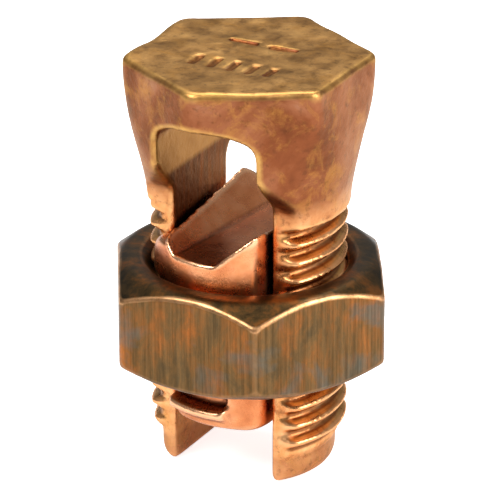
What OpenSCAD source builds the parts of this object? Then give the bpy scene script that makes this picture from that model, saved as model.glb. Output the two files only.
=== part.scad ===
// Split bolt connector for joining two copper conductors side by side.
// One forged bolt with two threaded legs, one pressure bar and one hex nut.
// Millimetres. The bolt stands on its leg ends at z = 0, and the slot runs along Y.

/* [Bolt head] */
// Across flats of the bolt's own hex
head_af = 15.9; // [12:0.1:20]
// Rounding radius of the hex corners
head_corner_r = 1.9; // [0.5:0.1:3]
// Overall height of the bolt
bolt_h = 31.2; // [26:0.1:40]
// Softened band at the rim of the head's top
head_rim = 0.55; // [0.2:0.05:1]
// Height of the hex before the taper takes its corners
head_hex_h = 2.9; // [2:0.1:5]
// Depth of the plain strokes on the head
stamp_depth = 0.15; // [0.05:0.05:0.3]
// Width of each stroke
stroke_w = 0.45; // [0.3:0.05:0.6]
// Length of the strokes in the near row
stroke_near_l = 1.7; // [1:0.1:2]
// Length of the strokes in the far row
stroke_far_l = 2.2; // [1:0.1:2.6]
// Spacing of the strokes in the near row
stroke_pitch = 1.5; // [1:0.1:1.6]
// Distance of the near row from the axis
stamp_near = 2.4; // [1.5:0.1:3]
// Distance of the far row from the axis
stamp_far = 2.2; // [1.5:0.1:3]

/* [Thread] */
// Major diameter, 9/16 inch
thread_d = 14.29; // [12:0.01:18]
// Pitch, 18 threads an inch
thread_pitch = 1.411; // [1:0.001:2]
// Normal clearance between the bolt's thread and the nut's
thread_clearance = 0.12; // [0.08:0.01:0.16]
// Height of the plain pilot under the thread
pilot_h = 1.95; // [1:0.05:3]
// Height of the thread's top end
thread_top = 20.4; // [18:0.1:24]
// Straight segments in one turn of the thread
thread_steps = 48; // [36:12:60]

/* [Slot] */
// Width of the conductor slot between the legs
slot_w = 7.9; // [6.5:0.1:9]
// Metal left in the head over the slot's arch
head_web = 3.1; // [2:0.1:5]
// Rise of the shallow arch over the slot
slot_arch = 1.35; // [0.8:0.05:2.2]
// Distance from the axis to the flats on the legs
leg_flat = 4.15; // [3.6:0.05:5]
// Height at which the leg flats run out towards the head
flat_top = 21.6; // [20:0.1:24]

/* [Pressure bar] */
// Clearance between the bar and the slot wall, each side
bar_clearance = 0.3; // [0.2:0.05:0.5]
// Bottom of the bar
bar_bottom = 4.4; // [3:0.1:6]
// Floor of the conductor groove
groove_floor = 17.6; // [16.6:0.1:18.4]
// Half the width of the groove's floor
groove_half = 1.75; // [1.2:0.05:2]
// Slope of the groove's sides, degrees
groove_slope = 43; // [38:1:46]
// Turn of the groove from the slot, degrees
groove_skew = 7; // [3:1:9]
// Highest point of the bar's rim
bar_top = 20.2; // [19:0.1:20.8]
// Radius of the bar's end lobes
lobe_r = 7.1; // [6.9:0.05:7.3]
// Rounding radius of the lobes' far lower corners
lobe_round = 1.95; // [1.5:0.05:2.1]
// Distance that the staked lip runs past the slot's middle
stake_past = 1.3; // [0.5:0.1:2]
// Reach of the staked lip past the bar's end
stake_reach = 0.75; // [0.4:0.05:1]
// Rise of the staked lip over the bar's bottom
stake_rise = 0.9; // [0.4:0.1:1.2]
// Height of the staked lip
stake_h = 0.8; // [0.6:0.1:1.2]

/* [Nut] */
// Across flats of the nut, 3/4 inch
nut_af = 19.05; // [17:0.05:22]
// Underside of the nut as drawn
nut_bottom = 8.3; // [7.5:0.1:9.5]
// Thickness of the nut
nut_h = 7.65; // [6.5:0.05:9]
// Radius of the flat ring on the nut's top
nut_ring_r = 9.1; // [8.6:0.05:9.3]
// Drop of the top chamfer from the ring to the corners
nut_top_chamfer = 1.45; // [0.8:0.05:2]
// Rise of the bottom chamfer
nut_bottom_chamfer = 1.1; // [0.6:0.05:1.6]
// Mouth radius of the countersink the bar seats in
nut_mouth_r = 7.85; // [7.5:0.05:8.2]
// Mouth radius of the lower countersink
nut_lower_mouth_r = 7.35; // [7:0.05:7.8]

/* [Hidden] */
$fn = 72;
overlap = 0.15;
spare = 0.4;
groove_over = 1;
shank_proud = 0.03;
shank_run = 0.6;
pilot_relief = 0.05;
thread_depth_share = 0.54127;
reach = 40;
head_r = (head_af / 2 - head_corner_r) / cos(30) + head_corner_r;
head_taper_top = bolt_h - head_hex_h;
thread_r = thread_d / 2;
thread_depth = thread_pitch * thread_depth_share;
thread_root_r = thread_r - thread_depth;
crest_flat = thread_pitch / 8;
root_flat = thread_pitch / 4;
shank_r = thread_r + shank_proud;
shank_top = thread_top + shank_run;
pilot_r = thread_root_r - pilot_relief;
pilot_round = 0.7;
slot_half = slot_w / 2;
slot_wall_h = bolt_h - head_web - slot_arch;
arch_steps = 14;
stroke_gap = 1;
corner_step = 15;
arch_r = (slot_half * slot_half + slot_arch * slot_arch) / (2 * slot_arch);
bar_half = slot_half - bar_clearance;
bore_r = thread_root_r + thread_clearance;
bar_r = bore_r - bar_clearance;
nut_r = nut_af / 2 / cos(30);
nut_top = nut_bottom + nut_h;
seat_gap = 0.1;
seat_z = nut_top - (nut_mouth_r - lobe_r) + seat_gap;
lobe_bottom = seat_z - (lobe_r - bar_r);
lobe_inner = leg_flat + bar_clearance / 2;
lobe_end = sqrt(lobe_r * lobe_r - lobe_inner * lobe_inner);
stake_r = bar_r + stake_reach;

// A rod with a right-hand thread, long enough to pass z_low and z_high.
// gap pushes every face of the thread outwards by that much.
module threaded_rod(z_low, z_high, gap) {
  first = floor(z_low / thread_pitch) - 1;
  turns = ceil(z_high / thread_pitch) - first;
  steps = turns * thread_steps;
  widen = gap * 2 * (1 / cos(30) - tan(30));
  crest = crest_flat + widen;
  root = root_flat - widen;
  flank = (thread_pitch - crest - root) / 2;
  r0 = thread_root_r + gap;
  r1 = thread_r + gap;
  rs = [r0, r0, r1, r1];
  zs = [0, root, root + flank, root + flank + crest];
  pts = [
    for (i = [0 : steps + thread_steps]) for (j = [0 : 3])
      [
        rs[j] * cos(i * 360 / thread_steps),
        rs[j] * sin(i * 360 / thread_steps),
        (first + i / thread_steps) * thread_pitch + zs[j] - root / 2
      ]
  ];
  low = len(pts);
  high = low + 1;
  last = steps * 4;
  up = thread_steps * 4;
  caps = [
    [0, 0, pts[0][2]],
    [0, 0, pts[last + up][2]]
  ];
  faces = concat(
    [for (i = [0 : steps - 1]) for (j = [0 : 2]) [i * 4 + j, i * 4 + j + 1, i * 4 + j + 5]],
    [for (i = [0 : steps - 1]) for (j = [0 : 2]) [i * 4 + j, i * 4 + j + 5, i * 4 + j + 4]],
    [for (i = [0 : steps - 1]) [i * 4 + 3, i * 4 + up, i * 4 + up + 4]],
    [for (i = [0 : steps - 1]) [i * 4 + 3, i * 4 + up + 4, i * 4 + 7]],
    [for (i = [0 : thread_steps - 1]) [low, i * 4, i * 4 + 4]],
    [[low, up, 3], [low, 3, 2], [low, 2, 1], [low, 1, 0]],
    [for (i = [0 : thread_steps - 1]) [high, last + i * 4 + 4, last + i * 4]],
    [[high, last, last + 1], [high, last + 1, last + 2], [high, last + 2, last + 3],
      [high, last + 3, last + up]]
  );
  polyhedron(points = concat(pts, caps), faces = faces, convexity = 20);
}

// Hexagon with its corners rounded in short flat steps, corners on the X axis.
module round_hex(af, corner_r) {
  centre = (af / 2 - corner_r) / cos(30);
  polygon([
    for (k = [0 : 5]) for (s = [-30 : corner_step : 30])
      [
        centre * cos(60 * k) + corner_r * cos(60 * k + s),
        centre * sin(60 * k) + corner_r * sin(60 * k + s)
      ]
  ]);
}

// Profile of the plain upper bolt: shank, taper and head.
module head_profile() {
  taper = (head_taper_top - shank_top) / (head_r - shank_r);
  polygon([
    [0, thread_top],
    [shank_r, thread_top],
    [shank_r, shank_top],
    [head_r + spare, head_taper_top + spare * taper],
    [head_r + spare, bolt_h - head_rim - spare],
    [head_r - head_rim, bolt_h],
    [0, bolt_h]
  ]);
}

// Envelope that trims the thread, with a lead cone at its lower end.
module thread_envelope() {
  inner = thread_root_r - spare;
  outer = thread_r + spare;
  polygon([
    [0, pilot_h],
    [inner, pilot_h],
    [outer, pilot_h + outer - inner],
    [outer, thread_top + overlap],
    [0, thread_top + overlap]
  ]);
}

// Plain pilot with a rounded foot.
module pilot_profile() {
  polygon([
    [0, 0],
    [pilot_r - pilot_round, 0],
    [pilot_r, pilot_round],
    [pilot_r, pilot_h + 2 * spare],
    [0, pilot_h + 2 * spare]
  ]);
  intersection() {
    translate([pilot_r - pilot_round, pilot_round]) circle(r = pilot_round);
    square([pilot_r + pilot_round, pilot_h]);
  }
}

// Slot between the legs, straight walls with a shallow arch in short flat steps.
module slot_cut() {
  arch_z = slot_wall_h + slot_arch - arch_r;
  half_angle = asin(slot_half / arch_r);
  arch = [
    for (k = [0 : arch_steps])
      let (a = half_angle * (1 - 2 * k / arch_steps))
        [arch_r * sin(a), arch_z + arch_r * cos(a)]
  ];
  rotate([90, 0, 0]) linear_extrude(reach, center = true)
    polygon(concat([[slot_half, -reach]], arch, [[-slot_half, -reach]]));
}

// Flat on one side of both legs, with its run-out under the head.
module flat_cut() {
  rotate([90, 0, 90]) linear_extrude(reach, center = true)
    polygon([
      [leg_flat, -reach],
      [leg_flat, flat_top],
      [leg_flat + head_af, flat_top + head_af],
      [reach, flat_top + head_af],
      [reach, -reach]
    ]);
}

// Plain debossed strokes in two short rows.
module stamp() {
  stroke_z = bolt_h - stamp_depth + reach / 2;
  for (k = [-2 : 2])
    translate([k * stroke_pitch, -stamp_near, stroke_z])
      cube([stroke_w, stroke_near_l, reach], center = true);
  for (side = [-1, 1])
    translate([side * (stroke_far_l + stroke_gap) / 2, stamp_far, stroke_z])
      cube([stroke_far_l, stroke_w, reach], center = true);
}

module bolt() {
  color("#a8865c")
  difference() {
    union() {
      intersection() {
        rotate(30) linear_extrude(bolt_h) round_hex(head_af, head_corner_r);
        rotate_extrude() head_profile();
      }
      intersection() {
        threaded_rod(pilot_h, thread_top + overlap, 0);
        rotate_extrude() thread_envelope();
      }
      rotate_extrude() pilot_profile();
    }
    slot_cut();
    flat_cut();
    rotate(180) flat_cut();
    stamp();
  }
}

// Front outline of one lobe: it covers the bar's end and wraps the left leg's flat.
module lobe_outline() {
  translate([-lobe_end + lobe_round, lobe_bottom])
    square([lobe_end - lobe_round + bar_half, bar_top - lobe_bottom]);
  translate([-lobe_end + lobe_round, lobe_bottom + lobe_round]) circle(r = lobe_round);
}

module lobe() {
  intersection() {
    translate([0, -lobe_inner, 0]) rotate([90, 0, 0]) linear_extrude(lobe_r) lobe_outline();
    rotate_extrude()
      polygon([
        [0, lobe_bottom],
        [bar_r, lobe_bottom],
        [lobe_r, seat_z],
        [lobe_r, bar_top],
        [0, bar_top]
      ]);
  }
}

// Groove that beds the conductor, floor and sloped sides.
module groove_cut() {
  rise = bar_top - groove_floor + groove_over;
  run = rise / tan(groove_slope);
  rotate(-groove_skew) rotate([90, 0, 0]) linear_extrude(reach, center = true)
    polygon([
      [-groove_half, groove_floor],
      [groove_half, groove_floor],
      [groove_half + run, groove_floor + rise],
      [-groove_half - run, groove_floor + rise]
    ]);
}

module stake_lip() {
  intersection() {
    translate([-bar_half, -stake_r, bar_bottom + stake_rise])
      cube([bar_half + stake_past, stake_r - leg_flat, stake_h]);
    cylinder(r = stake_r, h = reach);
  }
}

module pressure_bar() {
  color("#e1966a")
  difference() {
    union() {
      intersection() {
        translate([-bar_half, -lobe_r, bar_bottom])
          cube([2 * bar_half, 2 * lobe_r, bar_top - bar_bottom]);
        rotate_extrude()
          polygon([
            [0, bar_bottom],
            [bar_r, bar_bottom],
            [bar_r, lobe_bottom],
            [lobe_r, seat_z],
            [lobe_r, bar_top],
            [0, bar_top]
          ]);
      }
      for (a = [0, 180]) rotate(a) {
        lobe();
        stake_lip();
      }
    }
    groove_cut();
  }
}

module hex_nut() {
  color("#6b5238")
  difference() {
    intersection() {
      translate([0, 0, nut_bottom]) cylinder(r = nut_r, h = nut_h, $fn = 6);
      rotate_extrude()
        polygon([
          [0, nut_bottom],
          [nut_ring_r, nut_bottom],
          [nut_r, nut_bottom + nut_bottom_chamfer],
          [nut_r, nut_top - nut_top_chamfer],
          [nut_ring_r, nut_top],
          [0, nut_top]
        ]);
    }
    threaded_rod(nut_bottom, nut_top, thread_clearance);
    rotate_extrude()
      polygon([
        [0, nut_top - nut_mouth_r + bore_r - spare],
        [bore_r - spare, nut_top - nut_mouth_r + bore_r - spare],
        [nut_mouth_r + spare, nut_top + spare],
        [0, nut_top + spare]
      ]);
    rotate_extrude()
      polygon([
        [0, nut_bottom + nut_lower_mouth_r - bore_r + spare],
        [bore_r - spare, nut_bottom + nut_lower_mouth_r - bore_r + spare],
        [nut_lower_mouth_r + spare, nut_bottom - spare],
        [0, nut_bottom - spare]
      ]);
  }
}

bolt();
pressure_bar();
hex_nut();
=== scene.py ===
import math

import bpy
import numpy as np
import openvdb
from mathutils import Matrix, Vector


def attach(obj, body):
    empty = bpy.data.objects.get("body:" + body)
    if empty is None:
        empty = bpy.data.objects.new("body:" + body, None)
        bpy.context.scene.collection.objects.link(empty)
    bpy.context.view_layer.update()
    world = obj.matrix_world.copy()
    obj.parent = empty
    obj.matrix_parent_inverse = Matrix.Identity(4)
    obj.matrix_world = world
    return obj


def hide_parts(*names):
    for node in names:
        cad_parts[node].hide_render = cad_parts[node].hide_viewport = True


MM = 0.001
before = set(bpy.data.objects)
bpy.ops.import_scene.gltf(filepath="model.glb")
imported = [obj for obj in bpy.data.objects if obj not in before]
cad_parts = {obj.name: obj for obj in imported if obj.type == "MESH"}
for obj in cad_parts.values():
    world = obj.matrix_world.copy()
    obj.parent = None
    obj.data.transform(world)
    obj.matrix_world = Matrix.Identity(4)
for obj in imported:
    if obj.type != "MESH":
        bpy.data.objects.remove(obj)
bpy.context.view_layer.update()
scene = bpy.context.scene

# ---------------------------------------------------------------- sizes in mm, the source's to 0.01
PITCH = 1.411
THREAD_R = 7.145
ROOT_R = THREAD_R - PITCH * 0.54127
CLEAR = 0.12
THREAD_TOP = 20.4
PILOT_H = 1.95
PILOT_R = 6.33
HEAD_AF = 15.9
BOLT_H = 31.2
SLOT = 3.95
FLAT = 4.15
FLAT_TOP = 21.6
WALL_TOP = 26.75
ARCH = 1.35
STROKE_PITCH = 1.5
NEAR_ROW, NEAR_HALF = -2.4, 0.85
FAR_ROW, FAR_HALF, FAR_PLACE = 2.2, 1.1, 1.6
NUT_AF = 19.05
NUT_LOW = 8.3
NUT_TOP = 15.95
NUT_RING_R = 9.1
NUT_TOP_CHAMFER, NUT_LOW_CHAMFER = 1.45, 1.1
CHAMFER_RUN = 1.9
MOUTH_R, UNDER_R = 7.85, 7.35
BAR_HALF = 3.65
BAR_R = 6.2
BAR_LOW = 4.4
BAR_TOP = 20.2
LOBE_R = 7.1
LOBE_ROUND = 1.95
SEAT = NUT_TOP - (MOUTH_R - LOBE_R) + 0.1
LOBE_LOW = SEAT - (LOBE_R - BAR_R)
LIP_Z, LIP_HALF, LIP_R = 5.7, 0.4, 6.95
GROOVE = 17.6
GROOVE_HALF = 1.75
GROOVE_SLOPE = 43
GROOVE_SKEW = 7

# ---------------------------------------------------------------- sizes in mm that are this script's own
TAPER_LOW, TAPER_LOW_R = 21.0, 7.15
TAPER_HIGH, TAPER_HIGH_R = 28.4, 9.0
STROKE_HALF = 0.22
STROKE_DEPTH = 0.28
LOBE_GAP = 0.18
LIP_FROM, LIP_TO = -3.5, 1.3
HOLLOW_FROM, HOLLOW_TO = -3.9, 1.2
HOLLOW_Z, HOLLOW_HALF, HOLLOW_R = 7.45, 1.4, 5.7


# ---------------------------------------------------------------- distance fields
HALF_ROOT = 0.7071  # makes a distance along one axis a distance square to a 45 degree face
BAND = 3.0  # cells on each side of a surface that keep their distance


class Grid:
    """Regular points in mm. A field on it holds each point's distance to a surface, negative inside."""

    def __init__(self, low, high, step):
        self.low, self.step = np.array(low, float), step
        n = [int(math.ceil((b - a) / step)) + 1 for a, b in zip(low, high)]
        axes = [np.float32(a + step * np.arange(k)) for a, k in zip(low, n)]
        self.x, self.y, self.z = np.meshgrid(*axes, indexing="ij", sparse=True)
        self.r = np.sqrt(self.x**2 + self.y**2)
        self.t = np.arctan2(self.y, self.x)

    def bend(self, field, pts):
        """How sharply the surface turns at each point, 1/mm: positive on edges, negative in creases."""
        total = -6 * field
        for axis in range(3):
            total = total + np.roll(field, 1, axis) + np.roll(field, -1, axis)
        total = total / self.step**2
        for axis in range(3):
            total = (np.roll(total, 1, axis) + 2 * total + np.roll(total, -1, axis)) / 4
        base = [np.clip(np.floor(pts[:, a]).astype(int), 0, field.shape[a] - 2) for a in range(3)]
        part = [np.clip(pts[:, a] - base[a], 0, 1) for a in range(3)]
        value = 0
        for corner in ((i, j, k) for i in (0, 1) for j in (0, 1) for k in (0, 1)):
            weight = np.prod([part[a] if corner[a] else 1 - part[a] for a in range(3)], axis=0)
            value = value + weight * total[tuple(base[a] + corner[a] for a in range(3))]
        return value

    def mesh(self, field, name):
        vol = openvdb.FloatGrid(BAND)
        vol.copyFromArray(np.clip(field / self.step, -BAND, BAND).astype(np.float32))
        pts, tris, quads = vol.convertToPolygons(isovalue=0.0, adaptivity=0.0)
        bend = self.bend(field, pts)
        pts = (pts * self.step + self.low) * MM
        me = bpy.data.meshes.new(name)
        faces = [tuple(int(i) for i in face[::-1]) for group in (quads, tris) for face in group]
        me.from_pydata([tuple(float(c) for c in p) for p in pts], [], faces)
        me.update()
        layer = me.attributes.new("bend", "FLOAT", "POINT")
        layer.data.foreach_set("value", bend.astype(np.float32))
        ob = bpy.data.objects.new(name, me)
        scene.collection.objects.link(ob)
        for p in me.polygons:
            p.use_smooth = True
        return ob


def both(a, b, k):
    """Rounded intersection, a radius of about k."""
    h = np.maximum(k - np.abs(a - b), 0) / k
    return np.maximum(a, b) + h * h * k * 0.25


def either(a, b, k):
    """Rounded union."""
    h = np.maximum(k - np.abs(a - b), 0) / k
    return np.minimum(a, b) - h * h * k * 0.25


def cut(a, b, k):
    """Takes b out of a, with a rounded edge."""
    return both(a, -b, k)


def soft_hexagon(g, af, turn, k):
    """Hexagonal prism along Z, af across its flats."""
    out = None
    for i in range(6):
        a = math.radians(turn + 30 + 60 * i)
        d = g.x * math.cos(a) + g.y * math.sin(a) - af / 2
        out = d if out is None else both(out, d, k)
    return out


def waves(g, size, seed, axes=(1, 1, 1)):
    """Smooth seeded unevenness between about -1 and 1."""
    rng = np.random.default_rng(seed)
    out = 0
    for _ in range(6):
        d = rng.normal(size=3) * np.array(axes)
        d = d / np.linalg.norm(d) * 2 * math.pi / size * rng.uniform(0.6, 1.4)
        out = out + np.sin(g.x * d[0] + g.y * d[1] + g.z * d[2] + rng.uniform(0, 6.28))
    return out / 3.2


THREAD_LEAN = 0.62  # turns a distance along the radius into one about square to the flanks


def thread(g, gap, round_k):
    """Distance from the right-hand thread's surface."""
    phase = g.z / PITCH - g.t / (2 * math.pi)
    u = np.abs((phase - np.floor(phase)) - 0.5) * 2
    height = (u * 0.5 - 0.0625) / 0.3125
    flank = np.clip(height, 0, 1)
    smooth = flank * flank * (3 - 2 * flank) * round_k + flank * (1 - round_k)
    surface = THREAD_R + gap - (THREAD_R - ROOT_R) * smooth
    return (g.r - surface) * THREAD_LEAN


# ---------------------------------------------------------------- bolt
def make_bolt():
    g = Grid((-8.6, -9.5, -0.5), (8.6, 9.5, 31.7), 0.17)
    head = soft_hexagon(g, HEAD_AF, 30, 0.6)
    slope = math.atan2(TAPER_HIGH_R - TAPER_LOW_R, TAPER_HIGH - TAPER_LOW)
    taper = (g.r - TAPER_LOW_R) * math.cos(slope) - (g.z - TAPER_LOW) * math.sin(slope)
    head = both(head, taper, 0.6)
    dish = 0.10 * np.exp(-((g.r / 5.2) ** 2))
    top = g.z - (BOLT_H - dish) + 0.05 * waves(g, 7, 3, (1, 1, 0))
    head = both(head, top, 0.5)
    head = head + 0.05 * waves(g, 5.5, 11)
    shank = np.maximum(g.r - (THREAD_R + 0.02), np.maximum(g.z - 23.5, THREAD_TOP - g.z))
    head = np.maximum(head, 20.6 - g.z)
    upper = either(head, shank, 0.9)

    screw = thread(g, 0, 0.55)
    fade = np.clip((g.z - 19.9) / 0.9, 0, 1)
    screw = screw * (1 - fade) + (g.r - THREAD_R) * fade
    lead = (g.r - ROOT_R) * 0.72 - (g.z - (PILOT_H + 0.25)) * 0.55
    screw = both(screw, lead, 0.25)
    screw = np.maximum(screw, np.maximum(PILOT_H - g.z, g.z - 21.2))
    pilot = both(g.r - PILOT_R, -g.z, 1.3)
    pilot = np.maximum(pilot, g.z - 4)
    lower = either(screw, pilot, 0.2)
    body = either(lower, upper, 0.35)

    radius = (SLOT * SLOT + ARCH * ARCH) / (2 * ARCH)
    centre = WALL_TOP + ARCH - radius
    arch = np.sqrt(g.x**2 + (g.z - centre) ** 2) - radius
    arch = np.where(g.z > centre, arch, np.abs(g.x) - radius)
    slot = both(np.abs(g.x) - SLOT, arch, 0.7)
    body = cut(body, slot, 0.45)
    for side in (-1, 1):
        y = g.y * side
        ramp = both(FLAT - y, (g.z - FLAT_TOP - (y - FLAT)) * HALF_ROOT, 0.5)
        body = cut(body, ramp, 0.42)

    strokes = []
    for k in range(-2, 3):
        wide = np.abs(g.x - k * STROKE_PITCH) - STROKE_HALF
        strokes.append(np.maximum(wide, np.abs(g.y - NEAR_ROW) - NEAR_HALF))
    for side in (-1, 1):
        long = np.abs(g.x - side * FAR_PLACE) - FAR_HALF
        strokes.append(np.maximum(long, np.abs(g.y - FAR_ROW) - STROKE_HALF))
    marks = strokes[0]
    for stroke in strokes[1:]:
        marks = np.minimum(marks, stroke)
    marks = np.maximum(marks, (BOLT_H - STROKE_DEPTH) - g.z)
    body = cut(body, marks, 0.25)
    ob = g.mesh(body, "bolt_forging")
    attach(ob, "bolt")
    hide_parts("bolt")
    return ob


# ---------------------------------------------------------------- pressure bar
def groove(g):
    """Bed of the conductor, turned a little from the slot."""
    a = math.radians(GROOVE_SKEW)
    s = g.x * math.cos(a) - g.y * math.sin(a)
    wall = math.radians(GROOVE_SLOPE)
    side = (np.abs(s) - GROOVE_HALF) * math.sin(wall) - (g.z - GROOVE) * math.cos(wall)
    return both(side, GROOVE - g.z, 0.15)


def lobe(g, turn):
    """End of the bar that wraps one leg's flat. turn is 1 or -1, for the near and the far end."""
    x, y = g.x * turn, g.y * turn
    inner = FLAT + LOBE_GAP
    end = math.sqrt(LOBE_R**2 - inner**2)
    centre = -end + LOBE_ROUND
    slab = np.maximum(x - BAR_HALF, LOBE_LOW - g.z)
    slab = np.maximum(slab, centre - x)
    slab = np.maximum(slab, g.z - BAR_TOP)
    round_end = np.sqrt((x - centre) ** 2 + (g.z - (LOBE_LOW + LOBE_ROUND)) ** 2) - LOBE_ROUND
    face = np.minimum(slab, round_end)
    face = np.maximum(face, y + inner)
    cone = ((g.r - BAR_R) - (g.z - LOBE_LOW)) * HALF_ROOT
    return both(both(face, g.r - LOBE_R, 0.55), cone, 0.3)


def make_bar():
    g = Grid((-7.6, -7.6, 3.9), (7.6, 7.6, 20.9), 0.15)
    wide = np.where(g.z < LOBE_LOW, BAR_R, np.minimum(BAR_R + (g.z - LOBE_LOW), LOBE_R))
    plug = both((g.r - wide) * 0.8, np.abs(g.x) - BAR_HALF, 1.1)
    plug = both(plug, g.z - BAR_TOP, 0.3)
    plug = both(plug, BAR_LOW - g.z, 0.5)
    body = plug
    for turn in (1, -1):
        body = either(body, lobe(g, turn), 0.25)
        x, y = g.x * turn, g.y * turn
        lip = np.maximum(np.maximum(LIP_FROM - x, x - LIP_TO), np.abs(g.z - LIP_Z) - LIP_HALF)
        lip = both(both(lip, g.r - LIP_R, 0.5), y + FLAT, 0.2)
        hollow = np.maximum(HOLLOW_FROM - x, x - HOLLOW_TO)
        hollow = np.maximum(hollow, np.abs(g.z - HOLLOW_Z) - HOLLOW_HALF)
        hollow = np.maximum(hollow, HOLLOW_R - g.r)
        hollow = np.maximum(hollow, y + FLAT)
        body = cut(body, hollow, 0.5)
        body = either(body, lip, 0.5)
    body = cut(body, groove(g), 0.22)
    body = body + 0.02 * waves(g, 3.5, 21)
    ob = g.mesh(body, "pressure_bar_copper")
    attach(ob, "pressure_bar")
    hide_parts("pressure_bar")
    return ob


# ---------------------------------------------------------------- nut
def make_nut():
    g = Grid((-11.4, -10.0, 7.9), (11.4, 10.0, 16.4), 0.15)
    prism = soft_hexagon(g, NUT_AF, 0, 0.3)
    slab = np.maximum(NUT_LOW - g.z, g.z - NUT_TOP)
    a = math.atan2(NUT_TOP_CHAMFER, CHAMFER_RUN)
    top = (g.r - NUT_RING_R) * math.sin(a) + (g.z - NUT_TOP) * math.cos(a)
    b = math.atan2(NUT_LOW_CHAMFER, CHAMFER_RUN)
    low = (g.r - NUT_RING_R) * math.sin(b) + (NUT_LOW - g.z) * math.cos(b)
    body = both(both(prism, top, 0.22), low, 0.25)
    body = both(body, slab, 0.3)
    bore = thread(g, CLEAR, 0.3)
    mouth = ((g.r - MOUTH_R) - (g.z - NUT_TOP)) * HALF_ROOT
    under = ((g.r - UNDER_R) - (NUT_LOW - g.z)) * HALF_ROOT
    body = cut(body, bore, 0.12)
    body = cut(body, mouth, 0.2)
    body = cut(body, under, 0.2)
    body = body + 0.012 * waves(g, 2.6, 31)
    ob = g.mesh(body, "hex_nut_bronze")
    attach(ob, "hex_nut")
    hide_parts("hex_nut")
    return ob


# ---------------------------------------------------------------- materials
def srgb(r, g, b):
    """A colour from its 0 to 255 screen values."""
    def lin(c):
        c = c / 255
        return c / 12.92 if c <= 0.04045 else ((c + 0.055) / 1.055) ** 2.4
    return (lin(r), lin(g), lin(b), 1)


class Mat:
    """A node material, metal unless its maker says otherwise, with short names for the nodes it uses."""

    def __init__(self, name):
        self.m = bpy.data.materials.new(name)
        self.m.use_nodes = True
        self.nt = self.m.node_tree
        self.nt.nodes.clear()
        self.out = self.n("ShaderNodeOutputMaterial")
        self.bsdf = self.n("ShaderNodeBsdfPrincipled")
        self.l(self.bsdf.outputs[0], self.out.inputs[0])
        self.bsdf.inputs["Metallic"].default_value = 1.0
        self.co = self.n("ShaderNodeTexCoord").outputs["Object"]

    def n(self, kind, **kw):
        node = self.nt.nodes.new(kind)
        for k, v in kw.items():
            setattr(node, k, v)
        return node

    def l(self, a, b):
        self.nt.links.new(a, b)

    def scaled(self, v, turn=0):
        m = self.n("ShaderNodeMapping")
        m.inputs["Scale"].default_value = v
        m.inputs["Rotation"].default_value = (0, 0, math.radians(turn))
        self.l(self.co, m.inputs["Vector"])
        return m.outputs[0]

    def noise(self, scale, detail=4, rough=0.55, vec=None, distortion=0.0):
        t = self.n("ShaderNodeTexNoise")
        t.inputs["Scale"].default_value = scale
        t.inputs["Detail"].default_value = detail
        t.inputs["Roughness"].default_value = rough
        t.inputs["Distortion"].default_value = distortion
        self.l(vec if vec is not None else self.co, t.inputs["Vector"])
        return t.outputs["Fac"]

    def ramp(self, fac, *stops):
        """Each stop is a place and a colour, or a place and a grey level."""
        r = self.n("ShaderNodeValToRGB")
        while len(r.color_ramp.elements) > len(stops):
            r.color_ramp.elements.remove(r.color_ramp.elements[-1])
        while len(r.color_ramp.elements) < len(stops):
            r.color_ramp.elements.new(1)
        for e, (p, c) in zip(r.color_ramp.elements, stops):
            e.position = p
            e.color = c if isinstance(c, tuple) else (c, c, c, 1)
        self.l(fac, r.inputs[0])
        return r.outputs[0]

    def math(self, op, a, b=None, clamp=False):
        m = self.n("ShaderNodeMath", operation=op, use_clamp=clamp)
        for i, v in enumerate((a, b)):
            if v is None:
                continue
            if isinstance(v, (int, float)):
                m.inputs[i].default_value = v
            else:
                self.l(v, m.inputs[i])
        return m.outputs[0]

    def mix(self, fac, a, b, mode="MIX"):
        m = self.n("ShaderNodeMix", data_type="RGBA", blend_type=mode)
        for sock, v in ((m.inputs[0], fac), (m.inputs[6], a), (m.inputs[7], b)):
            if isinstance(v, tuple):
                sock.default_value = v
            elif isinstance(v, (int, float)):
                sock.default_value = v
            else:
                self.l(v, sock)
        return m.outputs[2]

    def bend(self, start, full):
        """A mask from the surface's own bend: 0 at start, 1 at full, in 1/mm."""
        a = self.n("ShaderNodeAttribute")
        a.attribute_name = "bend"
        r = self.n("ShaderNodeMapRange")
        r.inputs["From Min"].default_value = start
        r.inputs["From Max"].default_value = full
        self.l(a.outputs["Fac"], r.inputs["Value"])
        return r.outputs[0]

    def normal(self):
        g = self.n("ShaderNodeNewGeometry")
        s = self.n("ShaderNodeSeparateXYZ")
        self.l(g.outputs["Normal"], s.inputs[0])
        return s.outputs

    def position(self):
        s = self.n("ShaderNodeSeparateXYZ")
        self.l(self.co, s.inputs[0])
        return s.outputs

    def bump(self, height, strength, distance, before=None):
        b = self.n("ShaderNodeBump")
        b.inputs["Strength"].default_value = strength
        b.inputs["Distance"].default_value = distance
        self.l(height, b.inputs["Height"])
        if before is not None:
            self.l(before, b.inputs["Normal"])
        return b.outputs[0]


MM_TO_RAMP = 40.0  # a height of 25 mm comes to 1 on a ramp
MM_TO_SIDE = 100.0  # a distance of 10 mm comes to 1 on a ramp


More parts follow.
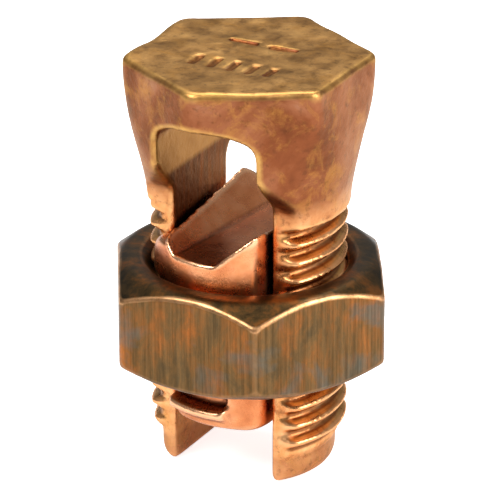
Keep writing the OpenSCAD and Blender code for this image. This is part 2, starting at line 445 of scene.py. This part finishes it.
def bolt_material():
    m = Mat("bolt_bronze")
    m.bsdf.inputs["Specular Tint"].default_value = (1.0, 0.88, 0.74, 1)
    big = m.noise(170, 5, 0.6, distortion=0.4)
    mid = m.noise(620, 6, 0.65)
    fine = m.noise(2600, 4, 0.7)
    red = m.ramp(big,
                 (0.30, srgb(96, 52, 32)), (0.45, srgb(128, 72, 44)),
                 (0.58, srgb(150, 94, 64)), (0.70, srgb(164, 118, 92)))
    tan = m.ramp(mid,
                 (0.30, srgb(146, 104, 58)), (0.52, srgb(192, 146, 88)), (0.75, srgb(214, 168, 104)))
    gold = m.ramp(mid,
                  (0.30, srgb(184, 112, 62)), (0.52, srgb(228, 160, 102)), (0.78, srgb(244, 194, 140)))
    normal = m.normal()
    place = m.position()
    height = m.math("MULTIPLY", place[2], MM_TO_RAMP)
    top = m.ramp(normal[2], (0.75, 0.0), (0.93, 1.0))
    threads = m.ramp(height, (0.78, 1.0), (0.90, 0.0))

    # red head, golden threads, duller foot, tan top
    col = m.mix(threads, red, gold)
    foot = m.ramp(height, (0.070, 1.0), (0.090, 0.0))
    col = m.mix(m.math("MULTIPLY", foot, 0.7), col, srgb(182, 122, 82))
    col = m.mix(m.math("MULTIPLY", top, 0.95), col, tan)

    # brassy patches and dark spots, and painted shade darkening the creases
    brassy = m.ramp(m.noise(430, 7, 0.7, distortion=0.6), (0.50, 0.0), (0.66, 1.0))
    col = m.mix(m.math("MULTIPLY", brassy, 0.42), col, srgb(196, 140, 66))
    spots = m.ramp(m.noise(1500, 5, 0.7), (0.34, 1.0), (0.46, 0.0))
    col = m.mix(m.math("MULTIPLY", spots, 0.45), col, srgb(84, 52, 34))
    crease_shade = m.bend(-0.25, -1.6)
    col = m.mix(m.math("MULTIPLY", crease_shade, 0.75), col, srgb(96, 44, 16))

    # slot walls above the nut: painted shade, dark, over lines drawn lengthwise, with painted light
    # making them lighter near the arch
    sideways = m.ramp(m.math("ABSOLUTE", normal[0]), (0.80, 0.0), (0.95, 1.0))
    off_axis = m.math("MULTIPLY", m.math("ABSOLUTE", place[0]), MM_TO_SIDE)
    inner = m.math("MULTIPLY", sideways, m.ramp(off_axis, (0.40, 1.0), (0.42, 0.0)))
    drawn = m.noise(2600, 4, 0.6, vec=m.scaled((1.0, 1.0, 0.06)))
    # painted shade: the dark colours the slot walls get
    wall = m.ramp(drawn, (0.35, srgb(58, 24, 4)), (0.65, srgb(104, 50, 10)))
    # painted light: the walls grow lighter near the arch
    painted_arch_light = m.ramp(height, (0.912, 0.0), (0.930, 1.0))
    wall = m.mix(painted_arch_light, wall, srgb(158, 112, 58))
    above = m.ramp(height, (0.50, 0.0), (0.66, 1.0))
    col = m.mix(m.math("MULTIPLY", m.math("MULTIPLY", inner, above), 0.9), col, wall)

    # worn edges on the head, and painted highlights along the thread crests
    edge = m.math("MULTIPLY", m.bend(0.9, 2.1), m.ramp(mid, (0.36, 0.35), (0.60, 1.0)))
    worn_and_highlight_rim = m.mix(threads, srgb(222, 176, 98), srgb(242, 178, 124))
    col = m.mix(m.math("MULTIPLY", edge, 0.62), col, worn_and_highlight_rim)
    m.l(col, m.bsdf.inputs["Base Color"])

    rough = m.math("ADD", m.math("MULTIPLY", mid, 0.30), 0.20)
    rough = m.math("SUBTRACT", rough, m.math("MULTIPLY", threads, 0.09))
    m.l(m.math("ADD", rough, m.math("MULTIPLY", fine, 0.08)), m.bsdf.inputs["Roughness"])
    coarse = m.bump(mid, 0.6, 0.00012)
    m.l(m.bump(fine, 0.5, 0.00004, coarse), m.bsdf.inputs["Normal"])
    return m.m


def bar_material():
    m = Mat("bar_copper")
    big = m.noise(260, 5, 0.6)
    mid = m.noise(900, 6, 0.7)
    lines = m.noise(900, 5, 0.6, vec=m.scaled((1.0, 0.05, 1.0)))
    col = m.ramp(big,
                 (0.30, srgb(178, 100, 58)), (0.50, srgb(212, 134, 86)), (0.72, srgb(232, 162, 116)))
    drawn = m.ramp(lines, (0.40, 0.0), (0.70, 1.0))
    col = m.mix(m.math("MULTIPLY", drawn, 0.35), col, srgb(168, 96, 66))
    # painted shade darkening the creases
    crease_shade = m.bend(-0.3, -1.8)
    col = m.mix(m.math("MULTIPLY", crease_shade, 0.8), col, srgb(92, 42, 26))
    edge = m.bend(1.0, 2.4)
    col = m.mix(m.math("MULTIPLY", edge, 0.6), col, srgb(248, 196, 152))
    m.l(col, m.bsdf.inputs["Base Color"])
    m.l(m.math("ADD", m.math("MULTIPLY", mid, 0.22), 0.17), m.bsdf.inputs["Roughness"])
    coarse = m.bump(mid, 0.35, 0.00007)
    m.l(m.bump(lines, 0.25, 0.00005, coarse), m.bsdf.inputs["Normal"])
    return m.m


def nut_material():
    m = Mat("nut_patina")
    blotch = m.noise(560, 8, 0.72, vec=m.scaled((1.0, 1.0, 0.42)), distortion=0.3)
    scratch = m.noise(4200, 4, 0.65, vec=m.scaled((1.0, 1.0, 0.035)))
    big = m.noise(210, 4, 0.6, distortion=0.5)
    mid = m.noise(1300, 5, 0.7)
    normal = m.normal()
    flat = m.ramp(m.math("ABSOLUTE", normal[2]), (0.20, 1.0), (0.40, 0.0))

    # brown side faces with grey patches and fine upright scratches, darker ends
    base = m.ramp(blotch,
                  (0.34, srgb(82, 66, 44)), (0.46, srgb(102, 76, 46)),
                  (0.55, srgb(120, 80, 44)), (0.68, srgb(154, 90, 42)))
    grey = m.ramp(big, (0.50, 0.0), (0.64, 1.0))
    col = m.mix(m.math("MULTIPLY", grey, 0.6), base, srgb(84, 88, 82))
    fine = m.ramp(scratch, (0.36, 0.72), (0.64, 1.2))
    col = m.mix(1.0, col, fine, "MULTIPLY")
    ends = m.ramp(blotch, (0.38, srgb(56, 46, 30)), (0.50, srgb(84, 64, 38)), (0.64, srgb(132, 82, 40)))
    col = m.mix(flat, ends, col)

    # bright wear, most of it on the edges of the top chamfer
    facing = m.ramp(normal[2], (0.04, 0.22), (0.16, 1.0))
    patchy = m.ramp(mid, (0.34, 0.35), (0.56, 1.0))
    wear = m.math("MULTIPLY", m.math("MULTIPLY", m.bend(1.1, 2.0), facing), patchy)
    col = m.mix(m.math("MULTIPLY", wear, 0.85), col, srgb(222, 166, 116))
    m.l(col, m.bsdf.inputs["Base Color"])
    m.l(m.math("ADD", m.math("MULTIPLY", blotch, 0.30), 0.20), m.bsdf.inputs["Roughness"])
    coarse = m.bump(blotch, 0.25, 0.00005)
    m.l(m.bump(scratch, 0.30, 0.00002, coarse), m.bsdf.inputs["Normal"])
    return m.m


PAIRS = ((make_bolt, bolt_material), (make_bar, bar_material), (make_nut, nut_material))
for make_piece, make_material in PAIRS:
    piece = make_piece()
    piece.data.materials.clear()
    piece.data.materials.append(make_material())

# ---------------------------------------------------------------- floor and light
# The floor glows white for the camera and less for reflections, so the metal keeps its darks.
white = Mat("studio_white")
white.bsdf.inputs["Metallic"].default_value = 0.0
white.bsdf.inputs["Base Color"].default_value = (0.9, 0.9, 0.9, 1)
white.bsdf.inputs["Roughness"].default_value = 0.9
white.bsdf.inputs["Emission Color"].default_value = (1, 1, 1, 1)
path = white.n("ShaderNodeLightPath")
glow = white.n("ShaderNodeMapRange")
glow.inputs["To Min"].default_value = 0.16
glow.inputs["To Max"].default_value = 0.80
white.l(path.outputs["Is Camera Ray"], glow.inputs["Value"])
white.l(glow.outputs[0], white.bsdf.inputs["Emission Strength"])
FLOOR_HALF = 2.0
FLOOR_DROP = 0.00002
corners = [(x * FLOOR_HALF, y * FLOOR_HALF, 0) for x, y in ((-1, -1), (1, -1), (1, 1), (-1, 1))]
floor_mesh = bpy.data.meshes.new("floor")
floor_mesh.from_pydata(corners, [], [(0, 1, 2, 3)])
floor = bpy.data.objects.new("floor", floor_mesh)
floor.location.z = -FLOOR_DROP
scene.collection.objects.link(floor)
floor_mesh.materials.append(white.m)

world = bpy.data.worlds.new("studio")
scene.world = world
world.use_nodes = True
wt = world.node_tree
back = wt.nodes["Background"]
coord = wt.nodes.new("ShaderNodeTexCoord")
parts = wt.nodes.new("ShaderNodeSeparateXYZ")
sky = wt.nodes.new("ShaderNodeValToRGB")
wt.links.new(coord.outputs["Generated"], parts.inputs[0])
half = wt.nodes.new("ShaderNodeMath")
half.operation = "MULTIPLY_ADD"
half.inputs[1].default_value = 0.5
half.inputs[2].default_value = 0.5
wt.links.new(parts.outputs["Z"], half.inputs[0])
wt.links.new(half.outputs[0], sky.inputs[0])
sky.color_ramp.elements[0].position = 0.50
sky.color_ramp.elements[0].color = (0.30, 0.30, 0.30, 1)
sky.color_ramp.elements[1].position = 1.0
sky.color_ramp.elements[1].color = (0.60, 0.60, 0.60, 1)
for place, level in ((0.60, 0.20), (0.78, 0.42)):
    sky.color_ramp.elements.new(place).color = (level, level, level, 1)
wt.links.new(sky.outputs[0], back.inputs[0])
back.inputs[1].default_value = 1.0
scene.view_settings.view_transform = "Standard"

# ---------------------------------------------------------------- lights, set from the camera's own angle
AZ, EL = 27.9, 23.0
DIST = 0.320
LIGHT_DIST = 0.30


def around(az, el, dist, target):
    """The point at a distance from target, az degrees from -Y towards +X and el degrees up."""
    a, e = math.radians(az), math.radians(el)
    outward = Vector((math.sin(a) * math.cos(e), -math.cos(a) * math.cos(e), math.sin(e)))
    return target + outward * dist


def area(name, az, el, size, power, size_y=None):
    """An area light that faces the connector."""
    data = bpy.data.lights.new(name, "AREA")
    data.energy = power
    data.size = size
    if size_y:
        data.shape = "RECTANGLE"
        data.size_y = size_y
    ob = bpy.data.objects.new(name, data)
    target = Vector((0, 0, 0.016))
    ob.location = around(az, el, LIGHT_DIST, target)
    ob.rotation_euler = (target - ob.location).to_track_quat("-Z", "Y").to_euler()
    scene.collection.objects.link(ob)


area("key", AZ - 48, 48, 0.14, 0.72)
area("fill", AZ + 62, 26, 0.10, 0.85, size_y=0.22)
area("top", AZ + 170, 70, 0.20, 0.5)

# ---------------------------------------------------------------- camera
cam = bpy.data.cameras.new("camera")
cam_ob = bpy.data.objects.new("camera", cam)
scene.collection.objects.link(cam_ob)
scene.camera = cam_ob
PX_PER_MM = 13.82
SENSOR = 36
IMAGE = 500
cam.sensor_width = SENSOR
cam.lens = PX_PER_MM / MM * DIST * SENSOR / IMAGE
target = Vector((0, 0, 0.01607))
cam_ob.location = around(AZ, EL, DIST, target)
cam_ob.rotation_mode = "QUATERNION"
cam_ob.rotation_quaternion = (target - cam_ob.location).to_track_quat("-Z", "Y")
cam.shift_x = 0.0015
cam.shift_y = 0.0
cam.clip_start = 0.01
cam.clip_end = 10
